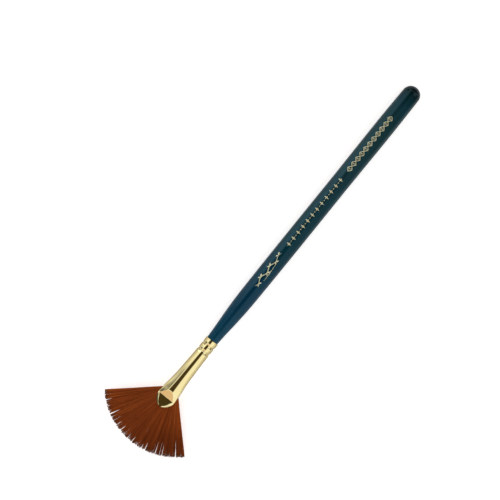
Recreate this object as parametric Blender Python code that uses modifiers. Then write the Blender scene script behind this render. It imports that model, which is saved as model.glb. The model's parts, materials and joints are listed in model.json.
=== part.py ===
"""A fan brush for painting, lying on its belly on a table.

A turned wooden handle runs into a crimped brass ferrule. Inside the ferrule a resin plug and a
thread hold the root of the hair, and a pressed V near the mouth flattens and spreads the hair
into a fan of locks. The locks spring up and down together about one hinge line at the mouth.

Units are metres, +Z is up and the brush's axis runs along X, with the hair tips at +X. The
origin is on the table, under the middle of the brush. Stations are distances along the axis
from the round end of the handle.
"""

import math

import bmesh
import bpy

MM = 0.001

# Overall layout
BRUSH_LENGTH = 190.0 * MM
FERRULE_START = 136.1 * MM
FERRULE_WALL = 0.30 * MM
FIT_GAP = 0.12 * MM  # between the ferrule and what is glued into it

# Handle: stations and radii of its outline, between the round end and the ferrule
ROUND_END_LENGTH = 4.0 * MM
ROUND_END_RADIUS = 4.0 * MM
ROUND_END_STEPS = 7
BELLY_RADIUS = 4.17 * MM
BELLY_START = 18.0 * MM
BELLY_END = 28.0 * MM
HANDLE_OUTLINE = (
    (ROUND_END_LENGTH, ROUND_END_RADIUS),
    (BELLY_START, BELLY_RADIUS),
    (BELLY_END, BELLY_RADIUS),
    (50.0 * MM, 4.04 * MM),
    (84.0 * MM, 4.06 * MM),
    (104.0 * MM, 3.98 * MM),
    (116.0 * MM, 3.83 * MM),
    (124.0 * MM, 3.43 * MM),
    (131.0 * MM, 2.92 * MM),
    (135.9 * MM, 2.66 * MM),
)
TENON_END = 150.5 * MM
TENON_TIP_CHAMFER = 0.6 * MM
HANDLE_SIDES = 16  # the lowest side is the flat that the brush rests on
HANDLE_STEP = 4.5 * MM  # between stations of the outline
GROOVED_TENON_STEP = 0.4 * MM
PLAIN_TENON_STEP = 3.0 * MM

# Ferrule: a round tube that widens and flattens towards the mouth
FERRULE_WIDTHS = (
    (136.0 * MM, 2.92 * MM),
    (142.4 * MM, 2.88 * MM),
    (150.0 * MM, 3.10 * MM),
    (158.0 * MM, 3.48 * MM),
    (162.5 * MM, 4.00 * MM),
    (166.7 * MM, 4.25 * MM),
    (174.0 * MM, 4.30 * MM),
)
FERRULE_HEIGHTS = (
    (136.0 * MM, 2.92 * MM),
    (142.4 * MM, 2.88 * MM),
    (150.0 * MM, 2.78 * MM),
    (158.0 * MM, 2.54 * MM),
    (163.0 * MM, 2.32 * MM),
    (167.0 * MM, 2.20 * MM),
    (174.0 * MM, 2.20 * MM),
)
FERRULE_SIDES = 40
TUBE_STEP = 2.0 * MM
CRIMP_STATIONS = (138.7 * MM, 141.7 * MM)
CRIMP_DEPTHS = (0.32 * MM, 0.40 * MM)
CRIMP_HALF_WIDTH = 0.75 * MM
CRIMP_STEP = 0.375 * MM

# The V pressed into both faces of the ferrule, and the domed lips in front of it
PINCH_STATION = 166.7 * MM
PINCH_HALF_HEIGHT = 0.75 * MM
REAR_SLOPE = math.radians(23.0)
FRONT_SLOPE = math.radians(20.0)
LIP_LENGTH = 4.4 * MM
LIP_HALF_WIDTH = 4.45 * MM
LIP_ROUNDNESS = 1.5  # 2 is an ellipse, 1 a triangle
LIP_EDGE_STEPS = 24
SIDE_MOUTH_OUTLINE = (  # stations and half heights of the gap between the lips, seen from the side
    (163.2 * MM, 0.35 * MM),
    (163.8 * MM, 0.66 * MM),
    (164.9 * MM, 0.74 * MM),
    (PINCH_STATION, 0.45 * MM),
)

# Hair fan, measured from the point where the lines of its two side edges meet
FAN_CENTRE = 159.6 * MM
FAN_RADIUS = BRUSH_LENGTH - FAN_CENTRE
FAN_HALF_ANGLE = math.radians(45.5)
LOCK_COUNT = 32
LOCK_GAP = 0.10 * MM
LOCK_ROOT_RADIUS = 10.75 * MM
LOCK_ROOT_HALF_THICKNESS = 0.45 * MM
LOCK_TIP_HALF_THICKNESS = 0.15 * MM
LOCK_RINGS = ((0.0, 1.0), (0.3, 1.0), (0.65, 1.0), (0.93, 1.0), (1.0, 0.45))  # shares of length, of width
LOCK_SIDES = 8
HINGE_STATION = 170.2 * MM

# Glued root of the hair, inside the ferrule and just past its lips
ROOT_START = 154.0 * MM
ROOT_HALF_WIDTH = 2.4 * MM
ROOT_HALF_HEIGHT = 1.45 * MM
ROOT_PINCH_HALF_HEIGHT = 0.34 * MM
ROOT_TAPER = 0.30
ROOT_EDGE_GAP = 0.40 * MM
ROOT_FAN_RADIUS = 10.3 * MM
ROOT_SIDES = 24
ROOT_STEP = 1.1 * MM

# Resin plug and binding thread
PLUG_START = 151.6 * MM
PLUG_END = 157.0 * MM
THREAD_START = 157.7 * MM
THREAD_RADIUS = 0.20 * MM
THREAD_PITCH = 0.50 * MM
THREAD_TURNS = 5
THREAD_POINTS_PER_TURN = 20

AXIS_HEIGHT = BELLY_RADIUS * math.cos(math.pi / HANDLE_SIDES)  # a flat of the belly lies at z = 0
CUTTER_REACH = 12.0 * MM  # beyond any surface that a cutter cuts
SPARE = 1.0 * MM  # how far a form runs past the edge it is trimmed to


def clear_scene():
    for obj in list(bpy.data.objects):
        bpy.data.objects.remove(obj, do_unlink=True)


def new_collection(name):
    collection = bpy.data.collections.new(name)
    bpy.context.scene.collection.children.link(collection)
    return collection


def new_material(name, colour, metallic, roughness):
    material = bpy.data.materials.new(name)
    material.use_nodes = True
    shader = material.node_tree.nodes["Principled BSDF"]
    shader.inputs["Base Color"].default_value = (*colour, 1.0)
    shader.inputs["Metallic"].default_value = metallic
    shader.inputs["Roughness"].default_value = roughness
    return material


def new_empty(name, collection, location, parent=None):
    empty = bpy.data.objects.new(name, None)
    empty.location = location
    empty.parent = parent
    collection.objects.link(empty)
    return empty


def new_object(name, data, collection, parent, material=None):
    obj = bpy.data.objects.new(name, data)
    obj.parent = parent
    if material:
        data.materials.append(material)
    collection.objects.link(obj)
    return obj


def new_cutter(name, mesh, collection, parent):
    cutter = new_object(name, mesh, collection, parent)
    cutter.hide_render = True
    cutter.display_type = "WIRE"
    return cutter


def cut(obj, cutter, operation="DIFFERENCE"):
    boolean = obj.modifiers.new(cutter.name, "BOOLEAN")
    boolean.operation = operation
    boolean.object = cutter


def curve_through(points, station):
    """The value at a station of a smooth curve through (station, value) points."""
    if station <= points[0][0]:
        return points[0][1]
    if station >= points[-1][0]:
        return points[-1][1]
    slopes = []
    for index in range(len(points)):
        before = points[max(index - 1, 0)]
        after = points[min(index + 1, len(points) - 1)]
        slopes.append((after[1] - before[1]) / (after[0] - before[0]))
    index = max(i for i, point in enumerate(points) if point[0] <= station)
    start, end = points[index], points[index + 1]
    if start[1] == end[1]:
        return start[1]
    length = end[0] - start[0]
    t = (station - start[0]) / length
    from_start = (1 + 2 * t) * (1 - t) ** 2 * start[1] + t * (1 - t) ** 2 * length * slopes[index]
    from_end = t**2 * (3 - 2 * t) * end[1] + t**2 * (t - 1) * length * slopes[index + 1]
    return from_start + from_end


def steps_between(start, end, step):
    """Evenly spaced stations from start to end, both included, no more than step apart."""
    count = max(1, math.ceil((end - start) / step - 1e-6))
    return [start + (end - start) * index / count for index in range(count + 1)]


def oval(station, half_width, half_height, sides):
    """A ring of points across the brush's axis, with a flat side below."""
    ring = []
    for index in range(sides):
        angle = 2 * math.pi * (index + 0.5) / sides
        ring.append((station, half_width * math.sin(angle), half_height * math.cos(angle)))
    return ring


def loft_mesh(name, rings):
    """One closed mesh through rings of points that all have the same number of points."""
    mesh = bpy.data.meshes.new(name)
    bm = bmesh.new()
    verts = [[bm.verts.new(point) for point in ring] for ring in rings]
    for ring, following in zip(verts, verts[1:]):
        for index in range(len(ring)):
            other = (index + 1) % len(ring)
            bm.faces.new((ring[index], ring[other], following[other], following[index]))
    bm.faces.new(verts[0])
    bm.faces.new(verts[-1])
    bmesh.ops.recalc_face_normals(bm, faces=bm.faces)
    bm.to_mesh(mesh)
    bm.free()
    return mesh


def smooth(mesh, angle=math.radians(35)):
    mesh.shade_smooth()
    mesh.set_sharp_from_angle(angle=angle)


def crimp_depth(station):
    """How far the two crimps press the ferrule's wall in at a station."""
    depth = 0.0
    for centre, full_depth in zip(CRIMP_STATIONS, CRIMP_DEPTHS):
        offset = abs(station - centre) / CRIMP_HALF_WIDTH
        if offset < 1:
            depth += full_depth * math.cos(offset * math.pi / 2) ** 2
    return depth


def ferrule_half_width(station):
    return curve_through(FERRULE_WIDTHS, station) - crimp_depth(station)


def ferrule_half_height(station):
    return curve_through(FERRULE_HEIGHTS, station) - crimp_depth(station)


def handle_outline():
    """(station, radius) points from the tip of the tenon to the round end."""
    inset = FERRULE_WALL + FIT_GAP
    tip_radius = ferrule_half_height(TENON_END) - inset - TENON_TIP_CHAMFER
    points = [(TENON_END, 0.0), (TENON_END, tip_radius)]
    crimps_end = CRIMP_STATIONS[1] + CRIMP_HALF_WIDTH
    plain_tenon = steps_between(crimps_end, TENON_END - TENON_TIP_CHAMFER, PLAIN_TENON_STEP)
    grooved_tenon = steps_between(FERRULE_START, crimps_end, GROOVED_TENON_STEP)[:-1]
    for station in reversed(grooved_tenon + plain_tenon):
        narrowest = min(ferrule_half_width(station), ferrule_half_height(station))
        points.append((station, narrowest - inset))
    taper = steps_between(BELLY_END, HANDLE_OUTLINE[-1][0], HANDLE_STEP)
    swell = steps_between(ROUND_END_LENGTH, BELLY_START, HANDLE_STEP)
    for station in reversed(swell + taper):
        points.append((station, curve_through(HANDLE_OUTLINE, station)))
    for index in range(1, ROUND_END_STEPS):
        angle = math.pi / 2 * index / ROUND_END_STEPS
        points.append((ROUND_END_LENGTH * (1 - math.sin(angle)), ROUND_END_RADIUS * math.cos(angle)))
    points.append((0.0, 0.0))
    return points


def make_handle(parts, brush, material):
    """Turned wood: round end, belly, taper, and a grooved tenon inside the ferrule."""
    mesh = bpy.data.meshes.new("handle")
    points = [(station, 0.0, radius) for station, radius in handle_outline()]
    edges = [(index, index + 1) for index in range(len(points) - 1)]
    mesh.from_pydata(points, edges, [])
    handle = new_object("handle", mesh, parts, brush, material)
    handle.rotation_euler.x = math.pi / HANDLE_SIDES
    screw = handle.modifiers.new("turn", "SCREW")
    screw.axis = "X"
    screw.steps = HANDLE_SIDES
    screw.render_steps = HANDLE_SIDES
    screw.use_merge_vertices = True
    screw.merge_threshold = 0.01 * MM
    screw.use_smooth_shade = True
    screw.use_normal_calculate = True
    return handle


def ferrule_stations(start, end):
    """Stations along the ferrule: close together over the crimps, wider apart along the tube."""
    first_crimp = CRIMP_STATIONS[0] - CRIMP_HALF_WIDTH
    last_crimp = CRIMP_STATIONS[1] + CRIMP_HALF_WIDTH
    crimps = steps_between(first_crimp, last_crimp, CRIMP_STEP)
    tube = steps_between(last_crimp, PINCH_STATION, TUBE_STEP)[1:]
    return [start] + crimps + tube + [end]


def tube_form(name, start, end, inset):
    """The solid inside the ferrule's surface, moved in by inset, before anything is pressed into it."""
    rings = []
    for station in ferrule_stations(start, end):
        half_width = ferrule_half_width(station) - inset
        half_height = ferrule_half_height(station) - inset
        rings.append(oval(station, half_width, half_height, FERRULE_SIDES))
    return loft_mesh(name, rings)


def press_form(name, side, inset):
    """A wedge that runs across the brush and presses a V into its upper (1) or lower (-1) face."""
    deepest = PINCH_HALF_HEIGHT - inset / math.cos(REAR_SLOPE)
    outline = (
        (PINCH_STATION, deepest),
        (PINCH_STATION + CUTTER_REACH, deepest + CUTTER_REACH * math.tan(FRONT_SLOPE)),
        (PINCH_STATION + CUTTER_REACH, CUTTER_REACH),
        (PINCH_STATION - CUTTER_REACH, CUTTER_REACH),
        (PINCH_STATION - CUTTER_REACH, deepest + CUTTER_REACH * math.tan(REAR_SLOPE)),
    )
    rings = []
    for across in (-CUTTER_REACH, CUTTER_REACH):
        rings.append([(station, across, side * height) for station, height in outline])
    return loft_mesh(name, rings)


def mouth_slot_form(name):
    """An almond-shaped slot right across the mouth, which parts the upper lip from the lower one."""
    end_half_height = SIDE_MOUTH_OUTLINE[-1][1] + CUTTER_REACH * math.tan(FRONT_SLOPE)
    above = SIDE_MOUTH_OUTLINE + ((PINCH_STATION + CUTTER_REACH, end_half_height),)
    outline = list(above) + [(station, -height) for station, height in reversed(above)]
    rings = []
    for across in (-CUTTER_REACH, CUTTER_REACH):
        rings.append([(station, across, height) for station, height in outline])
    return loft_mesh(name, rings)


def lip_reach(across):
    """How far the lips reach past the pinch line, at a distance across from the axis."""
    share = min(abs(across) / LIP_HALF_WIDTH, 1.0)
    return LIP_LENGTH * (1 - share**LIP_ROUNDNESS) ** (1 / LIP_ROUNDNESS)


def lip_trim_form(name):
    """Everything in front of the domed edge of the lips, as a plate cut to that edge."""
    outline = []
    for index in range(LIP_EDGE_STEPS + 1):
        across = -LIP_HALF_WIDTH * math.cos(math.pi * index / LIP_EDGE_STEPS)
        outline.append((PINCH_STATION + lip_reach(across), across))
    far = PINCH_STATION + CUTTER_REACH
    outline += [(PINCH_STATION, CUTTER_REACH), (far, CUTTER_REACH), (far, -CUTTER_REACH)]
    outline.append((PINCH_STATION, -CUTTER_REACH))
    rings = []
    for height in (-CUTTER_REACH, CUTTER_REACH):
        rings.append([(station, across, height) for station, across in outline])
    return loft_mesh(name, rings)


def make_ferrule(parts, cutters, brush, material):
    """Brass tube: collar, two crimps, flattened mouth with a pressed V and domed lips."""
    bore_mesh = tube_form("ferrule_bore", FERRULE_START - SPARE, PINCH_STATION + CUTTER_REACH, FERRULE_WALL)
    bore = new_cutter("ferrule_bore", bore_mesh, cutters, brush)
    blank = tube_form("ferrule", FERRULE_START, PINCH_STATION + LIP_LENGTH + SPARE, 0.0)
    ferrule = new_object("ferrule", blank, parts, brush, material)
    for side, label in ((1, "upper"), (-1, "lower")):
        outer = new_cutter(f"{label}_press", press_form(f"{label}_press", side, 0.0), cutters, brush)
        inner_mesh = press_form(f"{label}_bore_press", side, FERRULE_WALL)
        inner = new_cutter(f"{label}_bore_press", inner_mesh, cutters, brush)
        cut(ferrule, outer)
        cut(bore, inner)
    cut(ferrule, bore)
    cut(ferrule, new_cutter("mouth_slot", mouth_slot_form("mouth_slot"), cutters, brush))
    cut(ferrule, new_cutter("lip_trim", lip_trim_form("lip_trim"), cutters, brush))
    return ferrule


def root_half_width(station):
    along_fan_edge = (station - FAN_CENTRE) * math.tan(FAN_HALF_ANGLE) - ROOT_EDGE_GAP
    return max(ROOT_HALF_WIDTH, along_fan_edge)


def root_half_height(station):
    return min(ROOT_HALF_HEIGHT, ROOT_PINCH_HALF_HEIGHT + ROOT_TAPER * abs(PINCH_STATION - station))


def root_rings(stations, extra):
    rings = []
    for station in stations:
        half_width = root_half_width(station) + extra
        half_height = root_half_height(station) + extra
        rings.append(oval(station, half_width, half_height, ROOT_SIDES))
    return rings


def make_hair_root(parts, cutters, brush, material):
    """The held part of the hair: a bound bundle that flattens under the V and starts to fan out."""
    front = FAN_CENTRE + ROOT_FAN_RADIUS + SPARE
    turn_in = FAN_CENTRE + (ROOT_HALF_WIDTH + ROOT_EDGE_GAP) / math.tan(FAN_HALF_ANGLE)
    stations = [ROOT_START] + steps_between(turn_in, PINCH_STATION, ROOT_STEP)
    stations += steps_between(PINCH_STATION, front, ROOT_STEP)[1:]
    mesh = loft_mesh("hair_root", root_rings(stations, 0.0))
    root = new_object("hair_root", mesh, parts, brush, material)
    rings = []
    for height in (-CUTTER_REACH, CUTTER_REACH):
        ring = []
        for _, across, along in oval(0.0, ROOT_FAN_RADIUS, ROOT_FAN_RADIUS, 2 * FERRULE_SIDES):
            ring.append((FAN_CENTRE + along, across, height))
        rings.append(ring)
    reach = new_cutter("root_reach", loft_mesh("root_reach", rings), cutters, brush)
    cut(root, reach, "INTERSECT")
    return root


def make_epoxy_plug(parts, cutters, brush, material):
    """The resin that grips the root bundle, shaped by the inside of the ferrule."""
    rings = []
    for station in steps_between(PLUG_START, PLUG_END, TUBE_STEP):
        half_width = ferrule_half_width(station) - FERRULE_WALL - FIT_GAP
        half_height = ferrule_half_height(station) - FERRULE_WALL - FIT_GAP
        rings.append(oval(station, half_width, half_height, FERRULE_SIDES))
    plug = new_object("epoxy_plug", loft_mesh("epoxy_plug", rings), parts, brush, material)
    pocket_rings = root_rings((ROOT_START - FIT_GAP, PLUG_END + SPARE), FIT_GAP)
    pocket = new_cutter("root_pocket", loft_mesh("root_pocket", pocket_rings), cutters, brush)
    cut(plug, pocket)
    return plug


def make_binding_thread(parts, brush, material):
    """Waxed thread wound round the root bundle in front of the resin."""
    curve = bpy.data.curves.new("binding_thread", "CURVE")
    curve.dimensions = "3D"
    curve.bevel_depth = THREAD_RADIUS
    curve.bevel_resolution = 1
    curve.use_fill_caps = True
    spline = curve.splines.new("POLY")
    count = THREAD_TURNS * THREAD_POINTS_PER_TURN + 1
    spline.points.add(count - 1)
    clearance = THREAD_RADIUS + FIT_GAP
    for index, point in enumerate(spline.points):
        turn = index / THREAD_POINTS_PER_TURN
        angle = 2 * math.pi * turn
        across = (ROOT_HALF_WIDTH + clearance) * math.cos(angle)
        height = (ROOT_HALF_HEIGHT + clearance) * math.sin(angle)
        point.co = (THREAD_START + THREAD_PITCH * turn, across, height, 1.0)
    return new_object("binding_thread", curve, parts, brush, material)


def lock_mesh(name):
    """A lock that lies along +X from the point where the fan's side edges meet: thick root, thin tip."""
    half_pitch = FAN_HALF_ANGLE / LOCK_COUNT
    rings = []
    for share, width in LOCK_RINGS:
        radius = LOCK_ROOT_RADIUS + share * (FAN_RADIUS - LOCK_ROOT_RADIUS)
        half_width = (radius * math.tan(half_pitch) - LOCK_GAP / 2) * width
        thinning = share * (LOCK_ROOT_HALF_THICKNESS - LOCK_TIP_HALF_THICKNESS)
        rings.append(oval(radius, half_width, LOCK_ROOT_HALF_THICKNESS - thinning, LOCK_SIDES))
    return loft_mesh(name, rings)


def make_hair_locks(parts, hinge, material):
    """The fan: locks side by side, each turned about the fan's centre, on the hinge they spring about."""
    for index in range(LOCK_COUNT):
        name = f"hair_lock_{index + 1:02d}"
        lock = new_object(name, lock_mesh(name), parts, hinge, material)
        lock.location.x = FAN_CENTRE - HINGE_STATION
        lock.rotation_euler.z = FAN_HALF_ANGLE * ((2 * index + 1) / LOCK_COUNT - 1)


def main():
    clear_scene()
    parts = new_collection("fan_brush")
    cutters = new_collection("cutters")
    lacquer = new_material("blue_green_lacquer", (0.008, 0.045, 0.085), 0.0, 0.22)
    brass = new_material("polished_brass", (0.90, 0.68, 0.28), 1.0, 0.18)
    resin = new_material("amber_resin", (0.42, 0.22, 0.06), 0.0, 0.35)
    hair_material = new_material("red_brown_hair", (0.13, 0.026, 0.006), 0.0, 0.45)
    thread = new_material("waxed_thread", (0.55, 0.48, 0.36), 0.0, 0.7)

    brush = new_empty("brush_axis", parts, (-BRUSH_LENGTH / 2, 0.0, AXIS_HEIGHT))
    hinge = new_empty("tuft_hinge", parts, (HINGE_STATION, 0.0, 0.0), brush)
    make_handle(parts, brush, lacquer)
    make_ferrule(parts, cutters, brush, brass)
    make_epoxy_plug(parts, cutters, brush, resin)
    make_hair_root(parts, cutters, brush, hair_material)
    make_binding_thread(parts, brush, thread)
    make_hair_locks(parts, hinge, hair_material)
    for mesh in bpy.data.meshes:
        smooth(mesh)


main()
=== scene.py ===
"""The looks of a fan brush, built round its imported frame: fine meshes and materials for the lacquered
handle, the brass ferrule and the hair, which is made of separate filaments.

Metres, +Z up. The brush lies along X with its hair tips at +X.
"""
import json
import math

import bpy
import numpy as np
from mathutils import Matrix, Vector


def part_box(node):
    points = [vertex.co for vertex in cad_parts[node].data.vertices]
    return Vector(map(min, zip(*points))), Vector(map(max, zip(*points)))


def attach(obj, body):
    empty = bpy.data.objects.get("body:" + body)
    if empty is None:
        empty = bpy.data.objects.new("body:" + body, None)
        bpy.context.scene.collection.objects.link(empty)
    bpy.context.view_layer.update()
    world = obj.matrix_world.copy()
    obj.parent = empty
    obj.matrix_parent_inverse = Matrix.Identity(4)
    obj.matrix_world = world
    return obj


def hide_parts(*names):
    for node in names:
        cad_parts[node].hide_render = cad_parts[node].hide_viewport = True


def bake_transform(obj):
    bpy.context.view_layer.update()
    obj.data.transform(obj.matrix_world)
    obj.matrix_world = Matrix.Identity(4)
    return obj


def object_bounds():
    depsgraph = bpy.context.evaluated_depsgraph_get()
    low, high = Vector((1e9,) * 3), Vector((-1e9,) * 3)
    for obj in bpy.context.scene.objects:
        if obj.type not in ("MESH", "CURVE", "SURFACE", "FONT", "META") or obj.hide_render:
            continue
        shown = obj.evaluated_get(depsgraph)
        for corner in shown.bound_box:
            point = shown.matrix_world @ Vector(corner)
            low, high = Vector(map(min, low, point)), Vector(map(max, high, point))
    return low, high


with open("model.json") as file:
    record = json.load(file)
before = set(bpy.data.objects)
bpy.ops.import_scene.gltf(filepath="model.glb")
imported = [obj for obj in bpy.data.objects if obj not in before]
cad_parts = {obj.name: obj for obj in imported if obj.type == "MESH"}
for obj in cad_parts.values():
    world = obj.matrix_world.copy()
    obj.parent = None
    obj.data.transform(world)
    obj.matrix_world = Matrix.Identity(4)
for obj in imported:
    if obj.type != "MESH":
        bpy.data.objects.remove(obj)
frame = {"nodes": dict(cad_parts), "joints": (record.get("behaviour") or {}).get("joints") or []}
cad_low, cad_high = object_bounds()

MM = 0.001
rng = np.random.default_rng(4711)

# ---------------------------------------------------------------- places taken from the frame
tuft_joint = frame["joints"][0]
AXIS_Z = tuft_joint["pos_m"][2]
HANDLE_END_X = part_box("handle")[0].x
ferrule_low, ferrule_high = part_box("ferrule")
FERRULE_START_X = ferrule_low.x
LIP_TIP_X = ferrule_high.x
HAIR_TIP_X = cad_high.x
CRIMPS = ((2.6 * MM, 0.32 * MM), (5.6 * MM, 0.40 * MM))  # distance from the rear edge, depth
LOCKS = sorted(name for name in frame["nodes"] if name.startswith("hair_lock_"))


# ---------------------------------------------------------------- shared helpers
SHARP_ANGLE = math.radians(40.0)  # edges that turn by more than this look sharp


def smoothstep(value):
    value = np.clip(value, 0.0, 1.0)
    return value * value * (3.0 - 2.0 * value)


def curve_through(points, places):
    """Values at places of a smooth curve through (place, value) points."""
    xs = np.array([point[0] for point in points])
    ys = np.array([point[1] for point in points])
    slopes = np.gradient(ys, xs)
    places = np.clip(places, xs[0], xs[-1])
    index = np.clip(np.searchsorted(xs, places, side="right") - 1, 0, len(xs) - 2)
    length = xs[index + 1] - xs[index]
    t = (places - xs[index]) / length
    value = (1 + 2 * t) * (1 - t) ** 2 * ys[index] + t * (1 - t) ** 2 * length * slopes[index]
    return value + t**2 * (3 - 2 * t) * ys[index + 1] + t**2 * (t - 1) * length * slopes[index + 1]


def new_piece(name, points, faces, material, sharp_angle=SHARP_ANGLE):
    mesh = bpy.data.meshes.new(name)
    mesh.from_pydata(points, [], faces)
    mesh.validate()
    mesh.shade_smooth()
    mesh.set_sharp_from_angle(angle=sharp_angle)
    mesh.materials.append(material)
    obj = bpy.data.objects.new(name, mesh)
    bpy.context.scene.collection.objects.link(obj)
    return obj


def tube_faces(rings, sides, first=0, cap_start=True, cap_end=True):
    """Faces of a closed tube whose points are listed ring by ring."""
    faces = []
    for ring in range(rings - 1):
        near = first + ring * sides
        far = near + sides
        for side in range(sides):
            other = (side + 1) % sides
            faces.append((near + side, near + other, far + other, far + side))
    if cap_start:
        faces.append(tuple(first + side for side in reversed(range(sides))))
    if cap_end:
        faces.append(tuple(first + (rings - 1) * sides + side for side in range(sides)))
    return faces


def cad_outline(node):
    """(x, radius) of each ring of points of a turned CAD node, from low x to high x."""
    mesh = frame["nodes"][node].data
    widest = {}
    for vertex in mesh.vertices:
        x = round(vertex.co.x, 6)
        radius = math.hypot(vertex.co.y, vertex.co.z - AXIS_Z)
        widest[x] = max(widest.get(x, 0.0), radius)
    return sorted(widest.items())


# ---------------------------------------------------------------- node helpers
NODE_SPACING = 40


class Nodes:
    """Short calls for building a node tree."""

    def __init__(self, tree):
        self.tree = tree
        self.column = 0

    def new(self, kind, **settings):
        node = self.tree.nodes.new(kind)
        self.column += 1
        node.location = (self.column * NODE_SPACING, 0)
        for name, value in settings.items():
            setattr(node, name, value)
        return node

    def feed(self, socket, value):
        if isinstance(value, bpy.types.NodeSocket):
            self.tree.links.new(value, socket)
        elif value is not None:
            socket.default_value = value

    def math(self, operation, first, second=None):
        node = self.new("ShaderNodeMath", operation=operation)
        self.feed(node.inputs[0], first)
        self.feed(node.inputs[1], second)
        return node.outputs[0]

    def product(self, first, second):
        return self.math("MULTIPLY", first, second)

    def remap(self, value, places, results=(0.0, 1.0), interpolation="LINEAR"):
        """Turns the span between two places into the span between two results."""
        node = self.new("ShaderNodeMapRange", interpolation_type=interpolation)
        for socket, number in zip(node.inputs, (value, *places, *results)):
            self.feed(socket, number)
        return node.outputs[0]

    def ease(self, value, places, results=(0.0, 1.0)):
        """Like remap, with a soft start and end."""
        return self.remap(value, places, results, "SMOOTHSTEP")

    def band(self, value, rise, fall, height=1.0):
        """Height between the places where it rises and falls, each given as a (start, end) pair, and 0
        outside them.
        """
        rising = self.ease(value, rise, (0.0, height))
        falling = self.ease(value, fall, (height, 0.0))
        return self.math("MINIMUM", rising, falling)

    def split(self, vector):
        """The x, y and z of a vector."""
        node = self.new("ShaderNodeSeparateXYZ")
        self.feed(node.inputs[0], vector)
        return node.outputs

    def ramp(self, factor, stops):
        node = self.new("ShaderNodeValToRGB")
        elements = node.color_ramp.elements
        while len(elements) < len(stops):
            elements.new(0.5)
        for element, (place, colour) in zip(elements, stops):
            element.position = place
            element.color = (*colour, 1.0)
        self.feed(node.inputs[0], factor)
        return node.outputs[0]

    def mix(self, factor, first, second, blend_type="MIX"):
        # of this node's many sockets, inputs 6 and 7 and output 2 are the ones for colours
        node = self.new("ShaderNodeMix", data_type="RGBA", blend_type=blend_type)
        self.feed(node.inputs[0], factor)
        for socket, value in zip((node.inputs[6], node.inputs[7]), (first, second)):
            if isinstance(value, tuple):
                value = (*value, 1.0)
            self.feed(socket, value)
        return node.outputs[2]

    def noise(self, vector, scale, detail, roughness):
        node = self.new("ShaderNodeTexNoise")
        self.feed(node.inputs["Vector"], vector)
        self.feed(node.inputs["Scale"], scale)
        self.feed(node.inputs["Detail"], detail)
        self.feed(node.inputs["Roughness"], roughness)
        return node.outputs["Fac"]

    def stretched(self, vector, scale):
        node = self.new("ShaderNodeMapping")
        self.feed(node.inputs["Vector"], vector)
        node.inputs["Scale"].default_value = scale
        return node.outputs[0]

    def bump(self, height, strength, distance, normal=None):
        node = self.new("ShaderNodeBump")
        self.feed(node.inputs["Strength"], strength)
        self.feed(node.inputs["Distance"], distance)
        self.feed(node.inputs["Height"], height)
        self.feed(node.inputs["Normal"], normal)
        return node.outputs[0]


def new_material(name):
    """A material with an empty Principled shader: (material, its nodes, the shader's inputs)."""
    material = bpy.data.materials.new(name)
    material.use_nodes = True
    shader = material.node_tree.nodes["Principled BSDF"]
    return material, Nodes(material.node_tree), shader.inputs


def object_coordinates(nodes):
    return nodes.new("ShaderNodeTexCoord").outputs["Object"]


# ---------------------------------------------------------------- materials
# Colours are linear. A texture's scale counts its features in a metre, along x, y and z where it has
# three numbers: turned and drawn surfaces have far fewer of them along the brush than across it.
NOISE_SPAN = (0.3, 0.7)  # the values between which nearly all of a noise lies
# the first stops, up to 0.08, darken the round end to nearly black: painted shade standing in for the
# dark reflections on its curve
LACQUER_AND_END_SHADE_COLOURS = (  # share of the way from the round end to the ferrule, colour
    (0.0, (0.0012, 0.0030, 0.0026)),
    (0.02, (0.0012, 0.0060, 0.0060)),
    (0.045, (0.0006, 0.0225, 0.0304)),
    (0.08, (0.0054, 0.0369, 0.0514)),
    (0.15, (0.0073, 0.0378, 0.0425)),
    (0.38, (0.0079, 0.0406, 0.0536)),
    (0.62, (0.0016, 0.0339, 0.0498)),
    (0.84, (0.0006, 0.0371, 0.0802)),
    (1.0, (0.0006, 0.0520, 0.1010)),
)
LACQUER_GLOSS_TINT = (0.40, 0.80, 1.0, 1.0)
BRASS_COLOURS = (  # haze, colour
    (0.30, (0.93, 0.78, 0.38)),
    (0.52, (0.94, 0.81, 0.41)),
    (0.75, (0.95, 0.84, 0.46)),
)
# the darker brass colour mixed in as painted shade on the ferrule's sides and in its crimps
BRASS_PAINTED_SHADE_COLOUR = (0.40, 0.24, 0.09)
BRASS_EDGE_TINT = (0.22, 0.12, 0.08, 1.0)
FOIL_COLOURS = (  # patchiness, colour
    (0.3, (0.66, 0.62, 0.34)),
    (0.5, (0.92, 0.88, 0.56)),
    (0.8, (1.0, 0.97, 0.74)),
)
HAIR_COLOURS = (  # tone, colour
    (0.0, (0.095, 0.015, 0.0034)),
    (0.35, (0.254, 0.046, 0.0075)),
    (0.70, (0.432, 0.084, 0.0126)),
    (1.0, (0.711, 0.216, 0.0414)),
)
HAIR_TIP_COLOUR = (0.080, 0.036, 0.016)
HAIR_GLOSS_TINT = (1.0, 0.50, 0.22, 1.0)
RESIN_COLOURS = (  # cloudiness, colour
    (0.3, (0.30, 0.13, 0.03)),
    (0.7, (0.55, 0.31, 0.10)),
)
THREAD_COLOURS = (  # height on a strand, colour
    (0.2, (0.36, 0.29, 0.18)),
    (0.8, (0.66, 0.58, 0.42)),
)


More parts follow.
